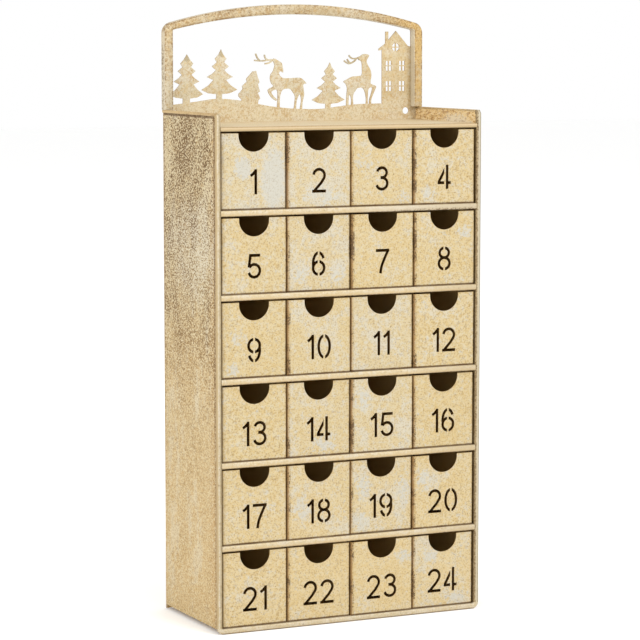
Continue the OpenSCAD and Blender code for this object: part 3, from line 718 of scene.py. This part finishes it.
for name, at, node in (("leftSheet", -outerX, "left_side"), ("rightSheet", sheetIn, "right_side")):
    sheet = waved(name, 0, at, sheetY, sheetZ, wave["sideCells"])
    dress(sheet, sidePaint, "cabinet", node)
    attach(sheet, "cabinet")
floorSheet = waved("floorSheet", 2, sheetZ[0], (-sheetIn, sheetIn), sheetY, wave["floorCells"])
dress(floorSheet, shelfPaint, "cabinet", "bottom_panel")
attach(floorSheet, "cabinet")
print("cabinet sheets made")


# a recipe is a geometry tree with named inputs

class Recipe(Graph):
    roundSteps = 5

    def __init__(self, name, inputs):
        super().__init__(bpy.data.node_groups.new(name, "GeometryNodeTree"))
        face = self.tree.interface
        face.new_socket("Geometry", in_out="OUTPUT", socket_type="NodeSocketGeometry")
        face.new_socket("Geometry", in_out="INPUT", socket_type="NodeSocketGeometry")
        self.keys = {label: face.new_socket(label, in_out="INPUT", socket_type="NodeSocket" + kind).identifier
                     for label, kind in inputs.items()}
        self.given = self.node("NodeGroupInput")

    def take(self, label):
        return self.given.out(label)

    def point(self, x=0.0, y=0.0, z=0.0):
        return self.node("ShaderNodeCombineXYZ", {}, {0: x, 1: y, 2: z})

    def bar(self, path, wide, deep, turn):  # a rounded bar along a path
        outline = self.node("GeometryNodeCurvePrimitiveQuadrilateral", {}, {"Width": wide, "Height": deep})
        outline = self.node("GeometryNodeFilletCurve", {"mode": "POLY"}, {
            "Curve": outline, "Radius": turn, "Count": self.roundSteps, "Limit Radius": True})
        return self.node("GeometryNodeCurveToMesh", {}, {
            "Curve": path, "Profile Curve": outline, "Fill Caps": True})

    def serve(self, shape):
        plain = self.node("GeometryNodeRealizeInstances", {}, {0: shape})
        painted = self.node("GeometryNodeSetMaterial", {}, {
            "Geometry": plain, "Material": self.take("Material")})
        self.node("NodeGroupOutput", {}, {0: painted})


def plainMesh(made, step):  # what the modifier makes of the object, as its own mesh
    mesh = bpy.data.meshes.new_from_object(made.evaluated_get(bpy.context.evaluated_depsgraph_get()))
    made.modifiers.remove(step)
    made.data = mesh
    mesh.name = made.name


def grow(name, recipe, start, values):
    made = bpy.data.objects.new(name, start)
    scene.collection.objects.link(made)
    step = made.modifiers.new("recipe", "NODES")
    step.node_group = recipe.tree
    for label, value in values.items():
        step[recipe.keys[label]] = value
    plainMesh(made, step)
    return made


def pathMesh(name, *lines):
    points, edges = [], []
    for line in lines:
        edges += [(len(points) + k, len(points) + k + 1) for k in range(len(line) - 1)]
        points += [Vector(p) * mm for p in line]
    made = bpy.data.meshes.new(name)
    made.from_pydata(points, edges, [])
    return made


# the front bead is one bar: down the left edge, along the bottom and up on the right, its ends turned back

edgeBar = Recipe("edgeBead", {"Width": "Float", "Depth": "Float", "Round": "Float", "Material": "Material"})
edgePath = edgeBar.node("GeometryNodeMeshToCurve", {}, {0: edgeBar.take("Geometry")})
edgeBar.serve(edgeBar.bar(edgePath, edgeBar.take("Width"), edgeBar.take("Depth"), edgeBar.take("Round")))


def beadPath():
    half, halfDepth = cabinet["bead"] / 2, cabinet["beadDepth"] / 2
    x, y, z = high.x - half, low.y + halfDepth, sideTop - halfDepth
    topR, lowR = cabinet["topCorner"] - halfDepth, cabinet["corner"] - half
    turn = [math.radians(90 * k / cabinet["cornerSteps"]) for k in range(cabinet["cornerSteps"] + 1)]
    left = [(-x, y + topR - topR * math.sin(a), z - topR + topR * math.cos(a)) for a in turn]
    left += [(-x + lowR - lowR * math.cos(a), y, half + lowR - lowR * math.sin(a)) for a in turn]
    return left + [(-px, py, pz) for px, py, pz in reversed(left)]


frameBead = grow("frameBead", edgeBar, pathMesh("beadPath", beadPath()), {
    "Width": cabinet["bead"] * mm, "Depth": cabinet["beadDepth"] * mm, "Round": cabinet["beadRound"] * mm,
    "Material": beadPaint})
hemX, hemZ = sheetIn + cabinet["hem"] / 2, sideTop - cabinet["hemTall"] / 2
hemPaths = [[(turn * hemX, y, hemZ) for y in sheetY] for turn in (-1, 1)]
topHems = grow("topHems", edgeBar, pathMesh("hemPaths", *hemPaths), {
    "Width": cabinet["hem"] * mm, "Depth": cabinet["hemTall"] * mm, "Round": cabinet["hemRound"] * mm,
    "Material": beadPaint})
for bar in (frameBead, topHems):
    dress(bar, beadPaint, "beads")
    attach(bar, "cabinet")
print("frame bead and hems:", len(frameBead.data.polygons) + len(topHems.data.polygons), "faces")


# shelves: a sheet with a rounded strip on its front edge, repeated up the cabinet

shelfStack = Recipe("shelfStack", {
    "Count": "Int", "Pitch": "Float", "First": "Vector", "Strip Length": "Float", "Strip Height": "Float",
    "Strip Depth": "Float", "Round": "Float", "Sheet": "Vector", "Material": "Material"})
take = shelfStack.take
halfLength, halfDepth, halfHeight = (take("Strip " + size) * 0.5 for size in ("Length", "Depth", "Height"))
across = shelfStack.node("GeometryNodeCurvePrimitiveLine", {}, {
    "Start": shelfStack.point(halfLength * -1, halfDepth, halfHeight * -1),
    "End": shelfStack.point(halfLength, halfDepth, halfHeight * -1)})
strip = shelfStack.bar(across, take("Strip Depth"), take("Strip Height"), take("Round"))
sheetSize = shelfStack.node("ShaderNodeSeparateXYZ", {}, {0: take("Sheet")})
board = shelfStack.node("GeometryNodeTransform", {}, {
    "Geometry": shelfStack.node("GeometryNodeMeshCube", {}, {"Size": take("Sheet")}),
    "Translation": shelfStack.point(0.0, sheetSize.out("Y") * 0.5 + halfDepth, sheetSize.out("Z") * -0.5)})
both = shelfStack.node("GeometryNodeJoinGeometry")
for part in (strip, board):
    shelfStack.tree.links.new(part.socket, both.socket.node.inputs[0])
line = shelfStack.node("GeometryNodeMeshLine", {"mode": "OFFSET"}, {
    "Count": take("Count"), "Start Location": take("First"), "Offset": shelfStack.point(z=take("Pitch"))})
shelfStack.serve(shelfStack.node("GeometryNodeInstanceOnPoints", {}, {"Points": line, "Instance": both}))

shelfValues = {
    "Count": len(shelfTops), "Pitch": shelfStep * mm, "First": (0.0, low.y * mm, shelfTops[-1] * mm),
    "Strip Length": 2 * beadIn * mm, "Strip Height": cabinet["shelfStrip"] * mm,
    "Strip Depth": cabinet["beadDepth"] * mm, "Round": cabinet["beadRound"] * mm,
    "Sheet": (2 * sheetIn * mm, (sheetY[1] - sheetY[0]) * mm, cabinet["sheet"] * mm), "Material": shelfPaint}
topValues = dict(shelfValues, Count=1, First=(0.0, low.y * mm, trayFloor * mm))
topValues["Strip Height"] = cabinet["topStrip"] * mm

shelves = grow("shelves", shelfStack, bpy.data.meshes.new("shelves"), shelfValues)
dress(shelves, shelfPaint, "beads", *[f"shelf_{i}" for i in range(1, 6)])
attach(shelves, "cabinet")
topShelf = grow("topShelf", shelfStack, bpy.data.meshes.new("topShelf"), topValues)
dress(topShelf, shelfPaint, "beads", "top_panel")
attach(topShelf, "cabinet")
print("shelves:", len(shelves.data.polygons), "faces")


# solder under the paint, where the strips meet the bead

solder = {
    "size": (2.6, 1.5, 3.0), "vary": 0.25, "lump": 0.35, "ripple": 700.0, "fineness": 3, "seed": 5,
    "into": 0.2, "depth": 1.15,  # into the bead, and behind the front
    "below": 2.0, "belowTop": 1.4,  # under the top of a shelf, and of the tray's floor
}

solderSpots = Recipe("solderSpots", {
    "Size": "Vector", "Vary": "Float", "Lump": "Float", "Seed": "Int", "Material": "Material"})
take = solderSpots.take
swelling = solderSpots.node("FunctionNodeRandomValue", {}, {
    2: 1 - take("Vary"), 3: 1 + take("Vary"), "Seed": take("Seed")}, out=1)
drop = solderSpots.node("GeometryNodeMeshIcoSphere", {}, {"Radius": 0.5, "Subdivisions": solder["fineness"]})
dropped = solderSpots.node("GeometryNodeInstanceOnPoints", {}, {
    "Points": take("Geometry"), "Instance": drop,
    "Scale": solderSpots.node("ShaderNodeVectorMath", {"operation": "SCALE"}, {
        0: take("Size"), "Scale": swelling})})
ripple = solderSpots.node("ShaderNodeTexNoise", {}, {"Scale": solder["ripple"], "Detail": 1.0})
sway = solderSpots.node("ShaderNodeVectorMath", {"operation": "SUBTRACT"}, {
    0: ripple.out("Color"), 1: (0.5, 0.5, 0.5)})
solderSpots.serve(solderSpots.node("GeometryNodeSetPosition", {}, {
    "Geometry": solderSpots.node("GeometryNodeRealizeInstances", {}, {0: dropped}),
    "Offset": solderSpots.node("ShaderNodeVectorMath", {"operation": "SCALE"}, {
        0: sway, "Scale": take("Lump")})}))

solderX, solderY = beadIn + solder["into"], low.y + solder["depth"]
spots = [(turn * solderX, solderY, z - solder["below"]) for turn in (-1, 1) for z in shelfTops]
spots += [(turn * solderX, solderY, trayFloor - solder["belowTop"]) for turn in (-1, 1)]
solderDrops = grow("solderDrops", solderSpots, pathMesh("solderPoints", spots), {
    "Size": tuple(s * mm for s in solder["size"]), "Vary": solder["vary"], "Lump": solder["lump"] * mm,
    "Seed": solder["seed"], "Material": beadPaint})
dress(solderDrops, beadPaint, "beads")
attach(solderDrops, "cabinet")
print("solder:", len(spots), "spots")


# back sheet with the winter scene

winter = {
    "look": {
        "gold": (235, 223, 190), "cream": (238, 230, 207), "ochre": (236, 202, 142), "ochreShare": 0.5,
        "chalk": (244, 234, 212), "chalkShare": 0.6, "grit": (184, 146, 90), "grain": 0.34,
        "dark": (126, 96, 54), "dots": 0.25, "dust": 0.2, "patch": 20.0, "rough": 0.5, "metal": 0.2},
    "tints": {
        # the hill tone is brighter than the sheet's paint: painted light that lifts the shade on the low part
        # of the scene between the tray and side walls
        "hill": (0.8, (251, 238, 206)), "house": (0.6, (226, 203, 154)), "back": (0.6, (234, 206, 148)),
        "backDrift": (0.5, (206, 168, 100)), "speck": (0.5, (204, 162, 98)), "tips": (0.3, (112, 100, 60)),
        "edge": (0.7, (172, 132, 74)), "soot": (0.5, (146, 112, 60)), "rubbed": (0.7, (150, 112, 56)),
        "weld": (0.35, (160, 124, 72)), "inside": cabinet["inside"]},
    "fades": {
        "hill": (19.0, 12.0), "house": (56.0, 60.0), "back": (16.0, -10.0), "backDrift": (0.42, 0.7),
        "speck": (0.54, 0.61), "tips": (0.1, 0.6), "rubbedSides": (5.0, 0.5), "rubbedFoot": (5.0, 1.0),
        "rubbed": (0.6, 0.68), "soot": (0.565, 0.615), "weld": (2.4, 0.96)},
    "frays": {"speck": 0.35, "tips": 1.2, "rubbed": 0.4, "soot": 0.35, "weld": 3.0},
    "noises": {
        "backDrift": {
            "detail": 4.0, "rough": 0.66, "warp": 0.2, "stretch": (0.024, 0.024, 0.014), "shift": 9.1},
        "drift": {"size": 13.0, "detail": 3.0, "rough": 0.6, "shift": 6.6},
        "grains": {"size": 1.6, "detail": 2.0, "rough": 0.9, "shift": 4.4}},
    "tips": [  # x, z, half width, half height
        (-26, 386, 7, 5), (47, 384, 8, 5), (-81, 387, 4, 5), (-55, 391, 4, 6)],
    "film": 0.1, "weldColumns": 40.0, "rubbedBy": 0.2, "edgeFrom": 0.5,
}


def winterGrounds(f):
    above = f.z - trayFloor
    # painted light: the low part of the scene is painted brighter
    hill = f.fade(above, "hill")
    f.back = (f.y > high.y - winter["film"]) * f.fade(above, "back")
    f.backDrift = f.speckle("backDrift")
    return {
        "hill": hill,
        "house": f.fade(f.x, "house") * (1 - hill),
        "back": f.back,
        "backDrift": f.back * f.fade(f.backDrift, "backDrift"),
    }


def winterLayers(f):
    frays, sheet = winter["frays"], cabinet["sheet"]
    drift, grains = f.speckle("drift"), f.speckle("grains")
    speck = f.fade(grains.frayed(drift, frays["speck"]), "speck") * (f.y < high.y - winter["film"])
    rubbed = f.fade(outerX - abs(f.x), "rubbedSides").most(f.fade(f.z, "rubbedFoot"))
    rubbed = (rubbed * winter["rubbedBy"] + grains).frayed(f.backDrift, frays["rubbed"])
    # weld marks on the back, in rows where the shelves are
    row = f.node("ShaderNodeMath", {"operation": "PINGPONG"}, {
        0: f.z - (cabinet["bead"] - sheet / 2), 1: shelfStep / 2})
    column = f.node("ShaderNodeMath", {"operation": "PINGPONG"}, {0: f.x, 1: winter["weldColumns"] / 2})
    around = (row * row + column * column).root()
    hidden = (f.y < high.y - sheet / 2) * (f.z < trayMiddle) * (abs(f.x) < sheetIn)
    return {
        "speck": speck,
        "tips": f.fade(f.patches(f.x, f.z, winter["tips"]).frayed(grains, frays["tips"]), "tips"),
        "edge": abs(f.facing()[1]) < winter["edgeFrom"],
        "soot": f.back * f.fade(grains.frayed(f.backDrift, frays["soot"]), "soot"),
        "rubbed": f.back * f.fade(rubbed, "rubbed"),
        "weld": f.back * f.fade(around.frayed(grains, frays["weld"]), "weld"),
        "inside": hidden,
    }


backSheet = meshCopy("back_panel", "backSheet")
dress(backSheet, patina("winterPaint", winter, winterLayers, None, winterGrounds), "scene", "back_panel")
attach(backSheet, "cabinet")
print("winter scene made")


# the bent bar round the scene

arch = {
    "look": {
        "gold": (217, 193, 148), "cream": (223, 205, 168), "ochre": (212, 174, 112), "ochreShare": 0.5,
        "chalk": (228, 216, 192), "chalkShare": 0.6, "grit": (146, 112, 62), "grain": 0.46,
        "dark": (100, 72, 36), "dots": 0.42, "dust": 0.25, "patch": 18.0, "rough": 0.48, "metal": 0.22},
    "tints": {
        "left": (0.7, (236, 230, 209)), "right": (0.7, (233, 192, 110)), "crown": (0.6, (208, 190, 155)),
        # the outer face tone is a painted highlight on the bar's outer side
        "speck": (0.55, (158, 116, 58)), "outerFace": (0.65, (226, 214, 190)),
        # the inner face tone is paler than the bar's paint: painted light lifting the shade of its inner side
        "postSoil": (0.7, (112, 88, 48)), "innerFace": (0.8, (240, 232, 212)),
        "line": (0.65, (140, 102, 52))},
    "fades": {
        "left": (-80.0, -90.0), "leftLow": (405.0, 360.0), "right": (55.0, 92.0), "crown": (398.0, 406.0),
        "crownMiddle": (95.0, 60.0), "soil": (0.46, 0.55), "line": (0.7, 0.2), "face": (0.5, 0.2),
        "posts": (402.0, 388.0), "postBack": (86.0, 92.0), "speck": (0.55, 0.6), "speckHigh": (352.0, 395.0)},
    "noises": {
        "grains": {"size": 1.6, "detail": 2.0, "rough": 0.9, "shift": 4.4},
        "ragged": {"size": 17.0, "detail": 2.0, "rough": 0.6, "shift": 2.2}},
    "fray": 0.4, "linePlace": 0.6,
    "edgeRound": 0.4, "roundSteps": 3, "roundFrom": 50,
    "crown": 358.0, "crownIn": 410.0, "crownWidth": 7.0, "post": 6.4,  # radii of the crown, widths of the bar
}


def archGrounds(f):
    return {
        "left": f.fade(f.x, "left") * f.fade(f.z, "leftLow"),
        "right": f.fade(f.x, "right"),
        "crown": f.fade(f.z, "crown") * f.fade(abs(f.x), "crownMiddle"),
    }


def archLayers(f):
    grains = f.speckle("grains")
    frayed = grains.frayed(f.speckle("ragged"), arch["fray"])
    soil = f.fade(frayed, "soil")
    # distance from the bar's outer and inner edges
    rise = f.z - (high.z - arch["crown"])
    riseIn = f.z - (high.z - arch["crownWidth"] - arch["crownIn"])
    outer = (high.x - abs(f.x)).least(arch["crown"] - (f.x * f.x + rise * rise).root())
    inner = (abs(f.x) - (high.x - arch["post"])).most((f.x * f.x + riseIn * riseIn).root() - arch["crownIn"])
    # painted highlight on the bar's outer face, darkened by soil on the posts
    outerFace = f.fade(outer, "face")
    postSoil = outerFace * f.fade(f.z, "posts") * soil
    return {
        "speck": f.fade(frayed, "speck") * f.fade(f.z, "speckHigh"),
        "outerFace": outerFace,
        "postSoil": postSoil * f.fade(f.y - low.y, "postBack"),
        # painted light: the bar's inner face gets a paler tone
        "innerFace": f.fade(inner, "face"),
        "line": f.fade(abs(outer.least(inner) - arch["linePlace"]), "line") * soil,
    }


archBar = meshCopy("arch_rim", "archBar")
soften = archBar.modifiers.new("soften", "BEVEL")
soften.width = arch["edgeRound"] * mm
soften.segments = arch["roundSteps"]
soften.limit_method = "ANGLE"
soften.angle_limit = math.radians(arch["roundFrom"])
soften.use_clamp_overlap = False
plainMesh(archBar, soften)
dress(archBar, patina("archPaint", arch, archLayers, None, archGrounds), "cabinet", "arch_rim")
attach(archBar, "cabinet")
print("arch made")


# studio

studio = {
    "sky": 1.0, "aim": (0, 0, 0.2),
    "lamps": {
        "keyLight": {"place": (0.8, -2.2, 1.9), "size": 1.4, "power": 45.0},
        "fillLight": {"place": (-2.4, -0.8, 1.2), "size": 1.6, "power": 36.0}},
    "paper": [(252, 252, 252), (255, 255, 254)], "paperCloud": 40.0, "paperRough": 0.9, "paperSpecular": 0.1,
    "floorHalf": 9, "floorDrop": 0.0004,
}

world = bpy.data.worlds.new("studio")
scene.world = world
world.use_nodes = True
sky = world.node_tree.nodes["Background"]
sky.inputs["Color"].default_value = (1.0, 1.0, 1.0, 1.0)
sky.inputs["Strength"].default_value = studio["sky"]

for name, lamp in studio["lamps"].items():
    softBox = bpy.data.lights.new(name, "AREA")
    softBox.energy = lamp["power"]
    softBox.size = lamp["size"]
    stand = bpy.data.objects.new(name, softBox)
    stand.location = lamp["place"]
    stand.rotation_euler = (Vector(studio["aim"]) - stand.location).to_track_quat("-Z", "Y").to_euler()
    scene.collection.objects.link(stand)

half, drop = studio["floorHalf"], -studio["floorDrop"]
ground = bpy.data.meshes.new("ground")
ground.from_pydata([(-half, -half, drop), (half, -half, drop), (half, half, drop), (-half, half, drop)], [],
                   [(0, 1, 2, 3)])
floor = bpy.data.objects.new("ground", ground)
scene.collection.objects.link(floor)
paper = Finish("paper")
white = [tuple((c / 255) ** 2.2 for c in tone) + (1.0,) for tone in studio["paper"]]
paper.feed("Base Color", paper.mix(paper.noise(studio["paperCloud"]), *white))
paper.feed("Roughness", studio["paperRough"])
paper.feed("Specular IOR Level", studio["paperSpecular"])
ground.materials.append(paper.material)
scene.view_settings.view_transform = "Standard"
scene.view_settings.look = "None"
print("studio lit")
